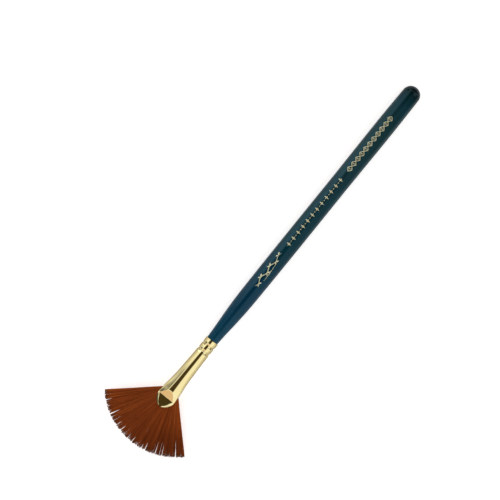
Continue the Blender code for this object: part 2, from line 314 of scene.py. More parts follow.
def make_lacquer():
    """Blue-green lacquer, bluest by the ferrule, under a clear gloss; towards the round end its colour
    is darkened to nearly black as painted shade.
    """
    material, nodes, shader = new_material("blue_green_lacquer")
    place = object_coordinates(nodes)
    share = nodes.remap(nodes.split(place)[0], (HANDLE_END_X, FERRULE_START_X))
    # the ramp's first stops are painted shade that darkens the round end
    along = nodes.ramp(share, LACQUER_AND_END_SHADE_COLOURS)
    clouds = nodes.stretched(place, (60.0, 260.0, 260.0))
    cloudy = nodes.noise(clouds, scale=1.0, detail=3.0, roughness=0.6)
    shade = nodes.remap(cloudy, NOISE_SPAN, (0.86, 1.16))
    nodes.feed(shader["Base Color"], nodes.mix(1.0, along, shade, "MULTIPLY"))
    worn = nodes.noise(place, scale=900.0, detail=4.0, roughness=0.6)
    nodes.feed(shader["Roughness"], nodes.remap(worn, NOISE_SPAN, (0.14, 0.26)))
    waves = nodes.stretched(place, (140.0, 420.0, 420.0))
    ripple = nodes.noise(waves, scale=1.0, detail=2.0, roughness=0.5)
    hairlines = nodes.stretched(place, (120.0, 5200.0, 5200.0))
    scratches = nodes.noise(hairlines, scale=1.0, detail=2.0, roughness=0.6)
    rippled = nodes.bump(ripple, strength=0.10, distance=0.02 * MM)
    scratched = nodes.bump(scratches, strength=0.04, distance=0.004 * MM, normal=rippled)
    nodes.feed(shader["Normal"], scratched)
    shader["Specular IOR Level"].default_value = 0.40
    shader["Specular Tint"].default_value = LACQUER_GLOSS_TINT
    return material


def make_brass():
    """Polished brass with faint draw lines, a soft haze, the darker edge tint of the metal, and painted
    shade on its sides and in its crimps.
    """
    material, nodes, shader = new_material("polished_brass")
    place = object_coordinates(nodes)
    haze = nodes.noise(place, scale=260.0, detail=3.0, roughness=0.5)
    drawn = nodes.stretched(place, (260.0, 5200.0, 5200.0))
    lines = nodes.noise(drawn, scale=1.0, detail=3.0, roughness=0.6)
    colour = nodes.ramp(haze, BRASS_COLOURS)
    # painted shade: the sides, where the surface turns sideways, and the crimps are mixed towards a
    # darker brass colour, standing in for the darker reflections at the edges and in the grooves
    normal = nodes.new("ShaderNodeTexCoord").outputs["Normal"]
    sideways = nodes.math("ABSOLUTE", nodes.split(normal)[1])
    painted_shade = nodes.ease(sideways, (0.70, 0.95), (0.0, 0.12))
    x = nodes.split(place)[0]
    for from_rear, _ in CRIMPS:
        middle = FERRULE_START_X + from_rear
        offset = nodes.math("ABSOLUTE", nodes.math("SUBTRACT", x, middle))
        crimp_shade = nodes.ease(offset, (0.1 * MM, 0.6 * MM), (0.05, 0.0))
        painted_shade = nodes.math("MAXIMUM", painted_shade, crimp_shade)
    nodes.feed(shader["Base Color"], nodes.mix(painted_shade, colour, BRASS_PAINTED_SHADE_COLOUR))
    dullness = nodes.math("ADD", haze, lines)
    nodes.feed(shader["Roughness"], nodes.remap(dullness, (0.6, 1.4), (0.05, 0.11)))
    nodes.feed(shader["Normal"], nodes.bump(lines, strength=0.05, distance=0.006 * MM))
    shader["Metallic"].default_value = 1.0
    shader["Specular Tint"].default_value = BRASS_EDGE_TINT
    return material


def make_foil():
    """Gold foil pressed into the lacquer, slightly patchy."""
    material, nodes, shader = new_material("gold_foil")
    place = object_coordinates(nodes)
    patches = nodes.noise(place, scale=2400.0, detail=3.0, roughness=0.6)
    nodes.feed(shader["Base Color"], nodes.ramp(patches, FOIL_COLOURS))
    nodes.feed(shader["Roughness"], nodes.remap(patches, NOISE_SPAN, (0.30, 0.48)))
    nodes.feed(shader["Normal"], nodes.bump(patches, strength=0.15, distance=0.01 * MM))
    shader["Metallic"].default_value = 0.25
    return material


def make_hair_material():
    """Red-brown filaments: each point has its own tone, and they turn darker and greyer at the tips."""
    material, nodes, shader = new_material("red_brown_hair")
    tone = nodes.new("ShaderNodeAttribute", attribute_name="tone").outputs["Fac"]
    along = nodes.new("ShaderNodeAttribute", attribute_name="along").outputs["Fac"]
    at_tip = nodes.ease(along, (0.92, 1.0), (0.0, 0.60))
    colour = nodes.mix(at_tip, nodes.ramp(tone, HAIR_COLOURS), HAIR_TIP_COLOUR)
    nodes.feed(shader["Base Color"], colour)
    nodes.feed(shader["Roughness"], nodes.remap(tone, (0.0, 1.0), (0.38, 0.50)))
    shader["Specular IOR Level"].default_value = 0.35
    shader["Specular Tint"].default_value = HAIR_GLOSS_TINT
    return material


def make_resin():
    """Set amber resin with a cloud of fine bubbles."""
    material, nodes, shader = new_material("amber_resin")
    place = object_coordinates(nodes)
    bubbles = nodes.noise(place, scale=3000.0, detail=4.0, roughness=0.7)
    nodes.feed(shader["Base Color"], nodes.ramp(bubbles, RESIN_COLOURS))
    nodes.feed(shader["Roughness"], nodes.remap(bubbles, NOISE_SPAN, (0.15, 0.4)))
    nodes.feed(shader["Normal"], nodes.bump(bubbles, strength=0.3, distance=0.02 * MM))
    return material


def make_thread_material():
    """Waxed thread whose twisted strands show as slanting ridges."""
    material, nodes, shader = new_material("waxed_thread")
    wave = nodes.new("ShaderNodeTexWave", bands_direction="DIAGONAL")
    nodes.feed(wave.inputs["Vector"], object_coordinates(nodes))
    wave.inputs["Scale"].default_value = 1600.0
    wave.inputs["Distortion"].default_value = 1.5
    strands = wave.outputs["Fac"]
    nodes.feed(shader["Base Color"], nodes.ramp(strands, THREAD_COLOURS))
    nodes.feed(shader["Roughness"], nodes.remap(strands, (0.0, 1.0), (0.75, 0.5)))
    nodes.feed(shader["Normal"], nodes.bump(strands, strength=0.5, distance=0.03 * MM))
    return material


lacquer = make_lacquer()
brass = make_brass()
foil = make_foil()
hair = make_hair_material()


# ---------------------------------------------------------------- handle
HANDLE_SIDES = 112
HANDLE_STEP = 0.7 * MM
ROUND_END_RADIUS = 3.99 * MM  # the round end stops where the CAD outline passes this radius
ROUND_END_RINGS = 26
LACQUER_EDGE_LENGTH = 0.08 * MM
LACQUER_EDGE_RINGS = 5
HANDLE_OUTLINE = cad_outline("handle")
SHOWN_OUTLINE = [point for point in HANDLE_OUTLINE if point[0] < FERRULE_START_X - 0.1 * MM]
TENON_OUTLINE = HANDLE_OUTLINE[len(SHOWN_OUTLINE) :]


def handle_stations():
    """Places along the handle and the radius at each: round end, lacquered outline, edge, tenon."""
    reach = next(x for x, radius in SHOWN_OUTLINE if radius > ROUND_END_RADIUS) - HANDLE_END_X
    end_radius = float(np.interp(HANDLE_END_X + reach, *zip(*SHOWN_OUTLINE)))
    angles = np.linspace(0.0, math.pi / 2, ROUND_END_RINGS)[1:-1]
    stations = list(HANDLE_END_X + reach * (1 - np.cos(angles)))
    radii = list(end_radius * np.sin(angles))
    body = [point for point in SHOWN_OUTLINE if point[0] >= HANDLE_END_X + reach]
    count = int((body[-1][0] - body[0][0]) / HANDLE_STEP)
    xs = np.linspace(body[0][0], body[-1][0], count)
    stations += list(xs)
    radii += list(curve_through(body, xs))
    # the lacquer stops at a fine rounded edge where the bare tenon enters the ferrule
    edge_x, edge_radius = body[-1]
    tenon_radius = TENON_OUTLINE[0][1]
    for turn in np.linspace(0.0, math.pi / 2, LACQUER_EDGE_RINGS)[1:]:
        stations.append(edge_x + LACQUER_EDGE_LENGTH * math.sin(turn))
        radii.append(tenon_radius + (edge_radius - tenon_radius) * math.cos(turn))
    for x, radius in TENON_OUTLINE:
        if radius > 0 and x > stations[-1]:
            stations.append(x)
            radii.append(radius)
    return stations, radii


def make_handle():
    stations, radii = handle_stations()
    points = [(HANDLE_END_X, 0.0, AXIS_Z)]
    turn = np.linspace(0.0, 2 * math.pi, HANDLE_SIDES, endpoint=False)
    for x, radius in zip(stations, radii):
        for angle in turn:
            points.append((x, radius * math.cos(angle), AXIS_Z + radius * math.sin(angle)))
    faces = tube_faces(len(stations), HANDLE_SIDES, first=1, cap_start=False)
    for side in range(HANDLE_SIDES):
        faces.append((0, 1 + (side + 1) % HANDLE_SIDES, 1 + side))
    handle = new_piece("turned_handle", points, faces, lacquer)
    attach(handle, "handle")
    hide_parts("handle")


make_handle()


# ---------------------------------------------------------------- gold ornament on the handle
FOIL_LIFT = 0.015 * MM
FOIL_SINK = 0.03 * MM
FOIL_STEP = 0.22 * MM
FOIL_CENTRE = -0.55 * MM  # round the handle from its top line
LEAF_POINT = 0.03 * MM  # width of the points of a leaf
VINE_START, VINE_END = 107.0 * MM, 89.5 * MM  # distances from the round end of the handle
VINE_HEIGHT = 0.55 * MM
VINE_WAVES = 3.0
VINE_LEAVES = 6  # pairs
STEM_WIDTHS = (0.12 * MM, 0.40 * MM, 0.36 * MM, 0.30 * MM, 0.10 * MM)
SWASH_WIDTHS = (0.05 * MM, 0.24 * MM, 0.05 * MM)
STARS_START, STARS_END = 84.6 * MM, 50.4 * MM
STARS = 12
STAR_ARM_ACROSS = 1.1 * MM
STAR_ARM_ALONG = 0.85 * MM
LATTICE_START, LATTICE_END = 45.6 * MM, 16.4 * MM
LATTICE_LOZENGES = 11
LATTICE_HALF_HEIGHT = 1.05 * MM
LATTICE_WIDTHS = (0.26 * MM, 0.30 * MM, 0.26 * MM)


class Foil:
    """Strokes of foil that follow the handle. Points are (distance from the round end, way round)."""

    def __init__(self):
        self.points = []
        self.faces = []

    def stroke(self, path, widths):
        path = np.array(path)
        lengths = np.linalg.norm(np.diff(path, axis=0), axis=1)
        places = np.concatenate([[0.0], np.cumsum(lengths)])
        count = max(3, int(places[-1] / FOIL_STEP) + 1)
        even = np.linspace(0.0, places[-1], count)
        line = np.stack([np.interp(even, places, path[:, axis]) for axis in (0, 1)], axis=1)
        half = np.interp(even, np.linspace(0.0, places[-1], len(widths)), widths) / 2
        ahead = np.gradient(line, axis=0)
        ahead /= np.linalg.norm(ahead, axis=1, keepdims=True)
        normal = np.stack([-ahead[:, 1], ahead[:, 0]], axis=1) * half[:, None]
        first = len(self.points)
        for middle, aside in zip(line, normal):
            corners = ((1, FOIL_LIFT), (-1, FOIL_LIFT), (-1, -FOIL_SINK), (1, -FOIL_SINK))
            for sign, lift in corners:
                along, way_round = middle + sign * aside
                x = HANDLE_END_X + along
                radius = float(curve_through(SHOWN_OUTLINE, x))
                turn = (FOIL_CENTRE + way_round) / radius
                radius += lift
                self.points.append((x, radius * math.sin(turn), AXIS_Z + radius * math.cos(turn)))
        self.faces += tube_faces(count, 4, first=first)

    def leaf(self, start, end, width):
        self.stroke([start, end], [LEAF_POINT, width * 0.8, width, width * 0.75, LEAF_POINT])


def make_vine(strokes):
    """A waving stem with a pair of leaves at each crest, and a long thin stroke beside it."""
    span = VINE_END - VINE_START
    stem = []
    for share in np.linspace(0.0, 1.0, 49):
        height = VINE_HEIGHT * (1.0 - 0.35 * share)
        wave = math.sin(2 * math.pi * VINE_WAVES * share)
        stem.append((VINE_START + span * share, height * wave))
    strokes.stroke(stem, STEM_WIDTHS)
    for crest in range(VINE_LEAVES):
        share = (crest + 0.5) / VINE_LEAVES
        along = VINE_START + span * share
        outward = 1 if crest % 2 == 0 else -1
        reach = (1.35 - 0.25 * share) * MM
        foot = outward * 0.5 * MM
        strokes.leaf((along, foot), (along - 1.3 * MM, outward * reach), 0.62 * MM)
        strokes.leaf((along, foot), (along + 1.0 * MM, outward * reach), 0.50 * MM)
    swash = []
    for share in np.linspace(0.0, 1.0, 15):
        swash.append((VINE_START + span * (0.22 + 0.5 * share), (1.55 - 0.5 * share**2) * MM))
    strokes.stroke(swash, SWASH_WIDTHS)


def make_stars(strokes):
    """A row of four-pointed stars with a small lozenge between each two."""
    pitch = (STARS_END - STARS_START) / (STARS - 1)
    for star in range(STARS):
        along = STARS_START + pitch * star
        strokes.leaf((along, -STAR_ARM_ACROSS), (along, STAR_ARM_ACROSS), 0.54 * MM)
        strokes.leaf((along - STAR_ARM_ALONG, 0.0), (along + STAR_ARM_ALONG, 0.0), 0.46 * MM)
        if star < STARS - 1:
            between = along + pitch / 2
            strokes.leaf((between - 0.32 * MM, 0.0), (between + 0.32 * MM, 0.0), 0.42 * MM)


def make_lattice(strokes):
    """A closed row of outlined lozenges, each with a lozenge in its middle."""
    pitch = (LATTICE_END - LATTICE_START) / LATTICE_LOZENGES
    for index in range(LATTICE_LOZENGES):
        start = LATTICE_START + pitch * index
        middle = start + pitch / 2
        for side in (-1, 1):
            path = [(start, 0.0), (middle, side * LATTICE_HALF_HEIGHT), (start + pitch, 0.0)]
            strokes.stroke(path, LATTICE_WIDTHS)
        strokes.leaf((middle, -0.45 * MM), (middle, 0.45 * MM), 0.44 * MM)


def make_ornament():
    strokes = Foil()
    make_vine(strokes)
    make_stars(strokes)
    make_lattice(strokes)
    ornament = new_piece("gold_ornament", strokes.points, strokes.faces, foil)
    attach(ornament, "handle")


make_ornament()


# ---------------------------------------------------------------- ferrule
WALL = 0.30 * MM
FERRULE_SIDES = 200
FINE_STEP = 0.12 * MM  # between rings over the crimps and the V
COARSE_STEP = 0.7 * MM  # between rings on the plain tube
INNER_STEP = 3  # the inside of the wall has every third ring
REAR_ROUNDING = 0.12 * MM
CRIMP_HALF_WIDTH = 0.85 * MM
CRIMP_ROUNDING = 0.07 * MM
CRIMP_SHARPNESS = 1.4
TUBE_WIDTHS = (  # distance from the rear edge of the ferrule, half width
    (-0.1 * MM, 2.92 * MM),
    (6.3 * MM, 2.88 * MM),
    (13.9 * MM, 3.10 * MM),
    (21.9 * MM, 3.48 * MM),
    (26.4 * MM, 4.00 * MM),
    (30.2 * MM, 4.28 * MM),
    (31.4 * MM, 4.26 * MM),
    (32.6 * MM, 3.78 * MM),
    (33.6 * MM, 3.02 * MM),
    (34.4 * MM, 2.45 * MM),
    (35.6 * MM, 2.20 * MM),
)
TUBE_HEIGHTS = (  # distance from the rear edge, half height without the V
    (-0.1 * MM, 2.92 * MM),
    (6.3 * MM, 2.88 * MM),
    (13.9 * MM, 2.78 * MM),
    (21.9 * MM, 2.54 * MM),
    (26.9 * MM, 2.32 * MM),
    (30.9 * MM, 2.20 * MM),
    (37.9 * MM, 2.20 * MM),
)

LIP_LENGTH = 4.4 * MM
LIP_HALF_WIDTH = 4.17 * MM
LIP_ROUNDNESS = 1.7  # of the lips' outline: 2 is an ellipse, 1 a triangle
LIP_SQUARENESS = ((0.0, 1.0 * MM), (2.0, 5.0))  # distances in front of the V, powers of the oval
PINCH_X = LIP_TIP_X - LIP_LENGTH  # the line of the V
PINCH_HALF_HEIGHT = 0.85 * MM
REAR_SLOPE = math.radians(24.0)
FRONT_SLOPE = math.radians(18.0)
PRESS_TILT = math.radians(1.0)
PRESS_ROUNDING = 0.12 * MM
PRESS_LENGTH = 4.6 * MM  # behind the V

SHOULDER_SPAN = (13 * MM, 27 * MM)  # distances from the rear edge between which it forms
SHOULDER_START = 0.34  # share of the half width
SHOULDER_DROPS = (  # distance from the rear edge, drop from the crown for a whole half width
    (18.0 * MM, 2.25 * MM),
    (22.0 * MM, 2.28 * MM),
    (26.0 * MM, 2.50 * MM),
    (30.6 * MM, 2.87 * MM),
)
SHOULDER_ROUNDING = 0.35 * MM
LIP_RIM_HEIGHTS = (  # distance in front of the V, height at the edge of the lip
    (0.0 * MM, 0.62 * MM),
    (1.0 * MM, 0.60 * MM),
    (2.0 * MM, 0.74 * MM),
    (3.3 * MM, 1.38 * MM),
    (4.4 * MM, 2.05 * MM),
)
LIP_RIM_SLOPES = (  # distance in front of the V, slope from the edge of the lip towards the axis
    (0.0 * MM, 0.24),
    (1.0 * MM, 0.50),
    (2.0 * MM, 0.72),
    (3.3 * MM, 0.66),
    (4.4 * MM, 0.50),
)
RIM_ROUNDING = 0.15 * MM
SIDE_MOUTH = (  # distance from the rear edge, half height of the gap between the lips
    (27.1 * MM, 0.26 * MM),
    (27.4 * MM, 0.48 * MM),
    (27.9 * MM, 0.60 * MM),
    (28.8 * MM, 0.62 * MM),
    (29.7 * MM, 0.56 * MM),
    (30.6 * MM, 0.48 * MM),
)
LIP_GAP_SLOPE = math.radians(3.0)
TRIM_ALLOWANCE = 0.6 * MM  # the tube is made this much too long, and the lips are cut from it
TRIM_STEPS = 72
REACH = 12 * MM  # how far the cutters go past the ferrule


def crimp_depth(from_rear):
    """How far the crimps press the wall in."""
    depth = 0.0
    for centre, full_depth in CRIMPS:
        offset = np.hypot(from_rear - centre, CRIMP_ROUNDING) / CRIMP_HALF_WIDTH
        depth += full_depth * (1.0 - min(offset, 1.0)) ** CRIMP_SHARPNESS
    return depth


def soft_minimum(first, second, rounding):
    nearness = np.clip(rounding - np.abs(first - second), 0.0, None) / rounding
    return np.minimum(first, second) - nearness**2 * rounding / 4


def lip_curve(share):
    """The lips' outline: its width at a share of its length, or its length at a share of its width,
    both as shares.
    """
    return (1.0 - share**LIP_ROUNDNESS) ** (1.0 / LIP_ROUNDNESS)


def ferrule_ring(x, inset):
    """Points round the ferrule's wall at x, moved in by inset. The tube is round behind and an oval
    with flattened shoulders in front, where the V is pressed into both of its faces.
    """
    from_rear = x - FERRULE_START_X
    in_front = max(0.0, x - PINCH_X)
    depth = crimp_depth(from_rear)
    half_width = curve_through(TUBE_WIDTHS, from_rear) - depth - inset
    half_height = curve_through(TUBE_HEIGHTS, from_rear) - depth - inset
    angle = 2 * math.pi * (np.arange(FERRULE_SIDES) + 0.5) / FERRULE_SIDES
    across = half_width * np.cos(angle)
    to_side = np.abs(np.cos(angle))
    power = float(np.interp(in_front, *LIP_SQUARENESS))
    oval = half_height * (1.0 - to_side**power) ** (1.0 / power)

    # the sides are pressed flat: as shoulders behind the V, as rims along the lips in front of it
    shoulder_drop = curve_through(SHOULDER_DROPS, from_rear)
    shoulder = half_height - (to_side - SHOULDER_START) * shoulder_drop
    lip_half_width = LIP_HALF_WIDTH * lip_curve(min(in_front / LIP_LENGTH, 1.0))
    from_edge = min(lip_half_width, half_width + inset) - np.abs(across)
    rim_slope = curve_through(LIP_RIM_SLOPES, in_front)
    rim = curve_through(LIP_RIM_HEIGHTS, in_front) - inset + rim_slope * from_edge
    side = -soft_minimum(-shoulder, -rim, RIM_ROUNDING)
    flattened = soft_minimum(oval, np.maximum(side, 0.0), SHOULDER_ROUNDING)
    formed = smoothstep((from_rear - SHOULDER_SPAN[0]) / (SHOULDER_SPAN[1] - SHOULDER_SPAN[0]))
    height = oval + (flattened - oval) * formed

    # the two faces of the V, tilted a little to one side
    slope = REAR_SLOPE if x < PINCH_X else FRONT_SLOPE
    run = math.hypot(x - PINCH_X, PRESS_ROUNDING / 2) - PRESS_ROUNDING / 2
    up_or_down = np.sign(np.sin(angle))
    face = PINCH_HALF_HEIGHT - inset / math.cos(slope) + run * math.tan(slope)
    face = face + across * up_or_down * math.tan(PRESS_TILT)
    height = np.maximum(soft_minimum(height, face, PRESS_ROUNDING), 0.0) * up_or_down
    return np.stack([np.full_like(across, x), across, AXIS_Z + height], axis=1)


def ferrule_stations(start, end):
    """Places along the ferrule: close together over the crimps and the V."""
    crimps_end = FERRULE_START_X + CRIMPS[-1][0] + CRIMP_HALF_WIDTH
    press_start = PINCH_X - PRESS_LENGTH
    spans = (
        (start, crimps_end, FINE_STEP),
        (crimps_end, press_start, COARSE_STEP),
        (press_start, end, FINE_STEP),
    )
    places = []
    for low, high, step in spans:
        count = max(2, int(math.ceil((high - low) / step)))
        places += list(np.linspace(low, high, count, endpoint=False))
    return places + [end]


def ferrule_wall():
    """The whole tube, outside and inside, before its side mouth and its lips are cut."""
    outer = ferrule_stations(FERRULE_START_X, LIP_TIP_X + TRIM_ALLOWANCE)
    inner = outer[::-INNER_STEP]
    if inner[-1] != outer[0]:
        inner.append(outer[0])
    rings = []
    for x in outer:
        # the rear edge is rolled over slightly
        into_edge = max(0.0, 1 - (x - FERRULE_START_X) / REAR_ROUNDING)
        rings.append(ferrule_ring(x, REAR_ROUNDING * (1 - math.sqrt(1 - into_edge**2))))
    for x in inner:
        rings.append(ferrule_ring(x, WALL))
    faces = tube_faces(len(rings), FERRULE_SIDES, cap_start=False, cap_end=False)
    last = (len(rings) - 1) * FERRULE_SIDES
    for side in range(FERRULE_SIDES):
        other = (side + 1) % FERRULE_SIDES
        faces.append((last + side, last + other, other, side))
    return new_piece("pressed_ferrule", np.concatenate(rings).tolist(), faces, brass)


def side_mouth_outline():
    """(x, height) points round the gap between the lips, seen from the side."""
    above = [(FERRULE_START_X + from_rear, height) for from_rear, height in SIDE_MOUTH]
    above.append((PINCH_X + REACH, SIDE_MOUTH[-1][1] + REACH * math.tan(LIP_GAP_SLOPE)))
    below = [(x, -height) for x, height in reversed(above)]
    return above + below


def lip_trim_outline():
    """(x, y) points round all that lies in front of the lips' curved edge, seen from above."""
    outline = []
    for index in range(TRIM_STEPS + 1):
        across = -LIP_HALF_WIDTH * math.cos(math.pi * index / TRIM_STEPS)
        share = min(abs(across) / LIP_HALF_WIDTH, 1.0)
        outline.append((PINCH_X + LIP_LENGTH * lip_curve(share), across))
    front = PINCH_X + REACH
    return outline + [(PINCH_X, REACH), (front, REACH), (front, -REACH), (PINCH_X, -REACH)]


def prism(name, outline, axis):
    """A long prism of an outline of (x, other) points: axis 1 runs it along Y, axis 2 along Z."""
    points = []
    for end in (-REACH, REACH):
        for x, other in outline:
            points.append((x, end, AXIS_Z + other) if axis == 1 else (x, other, AXIS_Z + end))
    cutter = new_piece(name, points, tube_faces(2, len(outline)), brass)
    mesh = cutter.data
    volume = 0.0
    for triangle in mesh.loop_triangles:
        first, second, third = (mesh.vertices[corner].co for corner in triangle.vertices)
        volume += first.dot(second.cross(third))
    if volume < 0:
        mesh.flip_normals()
    return cutter


def cut_away(obj, cutter):
    """Cuts cutter out of obj for good and removes cutter."""
    boolean = obj.modifiers.new("cut", "BOOLEAN")
    boolean.operation = "DIFFERENCE"
    boolean.object = cutter
    graph = bpy.context.evaluated_depsgraph_get()
    made = bpy.data.meshes.new_from_object(obj.evaluated_get(graph))
    obj.modifiers.clear()
    obj.data = made
    bpy.data.objects.remove(cutter)


def make_ferrule():
    ferrule = ferrule_wall()
    cut_away(ferrule, prism("mouth_slot", side_mouth_outline(), 1))
    cut_away(ferrule, prism("lip_trim", lip_trim_outline(), 2))
    ferrule.data.shade_smooth()
    ferrule.data.set_sharp_from_angle(angle=SHARP_ANGLE)
    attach(ferrule, "handle")
    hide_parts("ferrule")


make_ferrule()


# ---------------------------------------------------------------- hair
# "Share" is a share of the fan's radius, measured from the point where all filaments would meet.
FAN_CENTRE_X = PINCH_X - 6.75 * MM
FAN_RADIUS = (HAIR_TIP_X - FAN_CENTRE_X) * 1.019  # the longest filaments end just past the CAD
FAN_HALF_ANGLE = math.radians(46.3)
FAN_LEAN = math.radians(-1.2)
LEAN_END = 0.4  # share by which the fan has taken its lean
FAN_OFFSET = 0.2 * MM  # towards +Y
HAIR_START_RADIUS = 3.4 * MM
PINCHED_HALF_THICKNESS = 0.33 * MM
RIM_HALF_THICKNESS = 0.16 * MM
SIDE_THINNING = 0.3
SWELL = 0.13 * MM  # added to the half thickness past the V
SWELL_RATE = 14.0
ROOT_FLARE = 0.27  # rise of the half thickness behind the V, for each unit of length
ROOT_FLARE_LENGTH = 3.2 * MM

FILAMENTS_PER_LOCK = 84
FILAMENT_STATIONS = np.linspace(0.0, 1.0, 15) ** 0.8  # share of a filament's length
FILAMENT_SIDES = 4
FILAMENT_RADIUS = 0.055 * MM
FILAMENT_TIP_RADIUS = 0.026 * MM
TAPER_START = 0.93  # share of a filament's length
FILAMENT_SHARP_ANGLE = math.radians(100.0)  # so that the square filaments look round
LOOSE_START = 0.3  # share where the filaments begin to stray, sway and lift
STRAY_ANGLE = math.radians(0.16)
SWAY = (0.01, 0.04)  # millimetres, in the plane of the fan
SWAY_WAVES = 9.0  # radians over the fan's radius
LIFT = 0.05 * MM  # out of the plane of the fan
LIFT_WAVES = 7.0
LENGTH_LOSS = 0.009
LENGTH_LOSS_POWER = 1.5
SHORT_FILAMENTS = 0.06  # part of all filaments
SHORT_LOSS = (0.01, 0.07)
CLUMPS_PER_LOCK = 3
CLUMP_PULLS = (0.34, 0.14)  # at the -Y side, at the +Y side
CLUMP_SHIFT = 0.09  # share of a lock's width
CLUMP_STARTS = (0.90, 0.965)
CLUMP_SHARPNESS = 1.2
CLUMP_LENGTHS = (-0.011, 0.002)
MIDDLE_TONE = 0.52
OWN_TONE = 0.13
STREAKS = ((0.07, 61.0, 1.0), (0.05, 143.0, 0.0))  # strength, waves in a radian of the fan, phase
RIM_START = 0.45  # share where the tone starts to change towards the rim
RIM_END = 0.9
RIM_LIGHTENING = 0.06
RIM_DARKENING = 0.36  # at the +Y side
# the outermost filaments are lightened: a painted glow standing in for light shining through the fan's
# thin side edges
OUTERMOST_START = 0.955  # part of the fan's half angle
OUTERMOST_PAINTED_GLOW = 0.25
SPLITS = (  # angle in degrees, share of the radius where it opens, width at the rim
    (-38.2, 0.895, 0.42 * MM),
    (-33.0, 0.945, 0.20 * MM),
    (-26.5, 0.845, 0.48 * MM),
    (-20.6, 0.940, 0.22 * MM),
    (-16.4, 0.885, 0.34 * MM),
    (-11.4, 0.875, 0.40 * MM),
    (-6.6, 0.930, 0.26 * MM),
    (-2.9, 0.925, 0.26 * MM),
    (1.5, 0.900, 0.34 * MM),
    (6.0, 0.935, 0.24 * MM),
    (10.6, 0.885, 0.26 * MM),
    (13.6, 0.865, 0.44 * MM),
    (22.4, 0.70, 0.34 * MM),
    (28.0, 0.78, 0.38 * MM),
    (39.0, 0.74, 0.46 * MM),
)
SPLIT_REACH = math.radians(1.3)
SPLIT_SHARPNESS = 0.8


def half_thickness(x, angle):
    """Half the thickness of the hair: squeezed at the V, thickest just past it, thin at the rim and at
    the sides.
    """
    centred = 1 - np.clip(np.abs(angle) / FAN_HALF_ANGLE, 0.0, 1.0) ** 2
    pinched = PINCHED_HALF_THICKNESS * (1 - SIDE_THINNING + SIDE_THINNING * centred)
    behind = pinched + ROOT_FLARE * np.clip(PINCH_X - x, 0.0, ROOT_FLARE_LENGTH) * centred
    past = np.clip((x - PINCH_X) / (HAIR_TIP_X - PINCH_X), 0.0, 1.0)
    swell = SWELL * (1 - np.exp(-past * SWELL_RATE))
    thinning = (PINCHED_HALF_THICKNESS + SWELL - RIM_HALF_THICKNESS) * past
    return np.where(x < PINCH_X, behind, pinched + swell - thinning)


def parted(angle, share):
    """Angles of points on filaments, pushed apart at the splits that have opened at that share."""
    moved = angle.copy()
    for degrees, opens, width in SPLITS:
        offset = angle - math.radians(degrees)
        opening = np.clip((share - opens) / (1.0 - opens), 0.0, 1.0) ** SPLIT_SHARPNESS
        push = width / 2 / FAN_RADIUS * np.exp(-np.abs(offset) / SPLIT_REACH) * opening
        moved += np.where(offset < 0, -push, push)
    return moved


def filament_lines(low, high):
    """The filaments of a lock between two angles: each one's own angle, and the middle line, share and
    angle at each of its stations.
    """
    count = FILAMENTS_PER_LOCK
    base = low + (high - low) * (np.arange(count) + rng.uniform(0.1, 0.9, count)) / count
    layer = rng.uniform(-1.0, 1.0, count)[:, None]
    stray = rng.normal(0.0, STRAY_ANGLE, count)[:, None]
    length = 1.0 - LENGTH_LOSS * rng.random(count) ** LENGTH_LOSS_POWER
    short = rng.random(count) < SHORT_FILAMENTS
    length = np.where(short, length - rng.uniform(*SHORT_LOSS, count), length)
    phase = rng.uniform(0.0, 2 * math.pi, count)[:, None]
    sway = rng.uniform(*SWAY, count)[:, None] * MM

    # the tips of a lock gather into a few pointed clumps
    edges = np.linspace(0.0, 1.0, CLUMPS_PER_LOCK + 1)
    edges[1:-1] += rng.uniform(-CLUMP_SHIFT, CLUMP_SHIFT, CLUMPS_PER_LOCK - 1)
    edges = low + (high - low) * edges
    clump = np.clip(np.searchsorted(edges, base) - 1, 0, CLUMPS_PER_LOCK - 1)
    clump_middle = ((edges[1:] + edges[:-1]) / 2)[clump]
    clump_start = rng.uniform(*CLUMP_STARTS, CLUMPS_PER_LOCK)[clump][:, None]
    length = (length + rng.uniform(*CLUMP_LENGTHS, CLUMPS_PER_LOCK)[clump])[:, None]

    radius = HAIR_START_RADIUS + (FAN_RADIUS * length - HAIR_START_RADIUS) * FILAMENT_STATIONS
    share = radius / FAN_RADIUS
    loose = smoothstep((share - LOOSE_START) / (1 - LOOSE_START))
    pull = np.interp((low + high) / 2, (-FAN_HALF_ANGLE, FAN_HALF_ANGLE), CLUMP_PULLS)
    in_clump = np.clip((share - clump_start) / (1 - clump_start), 0.0, 1.0)
    gathered = pull * in_clump**CLUMP_SHARPNESS
    angle = base[:, None] + (clump_middle - base)[:, None] * gathered
    angle = parted(angle + stray * loose, share) + FAN_LEAN * smoothstep(share / LEAN_END)
    x = FAN_CENTRE_X + radius * np.cos(angle)
    y = radius * np.sin(angle) + FAN_OFFSET
    y += sway * np.sin(phase + share * SWAY_WAVES) * loose
    z = layer * half_thickness(x, angle)
    z += LIFT * np.sin(phase * 2 + share * LIFT_WAVES) * loose
    return base, np.stack([x, y, AXIS_Z + z], axis=2), share, angle


def filament_tones(base, share, angle):
    """Each filament's own tone, streaks shared by neighbours, a painted glow on the outermost filaments
    at both sides, and darker on the +Y half towards the rim.
    """
    tone = MIDDLE_TONE + rng.normal(0.0, OWN_TONE, len(base))
    for strength, waves, phase in STREAKS:
        tone += strength * np.sin(base * waves + phase)
    from_middle = np.abs(base) / FAN_HALF_ANGLE
    # painted glow: the outermost filaments at both sides are lightened
    outermost = smoothstep((from_middle - OUTERMOST_START) / (1 - OUTERMOST_START))
    tone += OUTERMOST_PAINTED_GLOW * outermost
    rim = smoothstep((share - RIM_START) / (RIM_END - RIM_START))
    side = smoothstep(0.5 + angle / (2 * FAN_HALF_ANGLE))
    tone = tone[:, None] + rim * (RIM_LIGHTENING - RIM_DARKENING * side)
    return np.clip(tone, 0.0, 1.0)


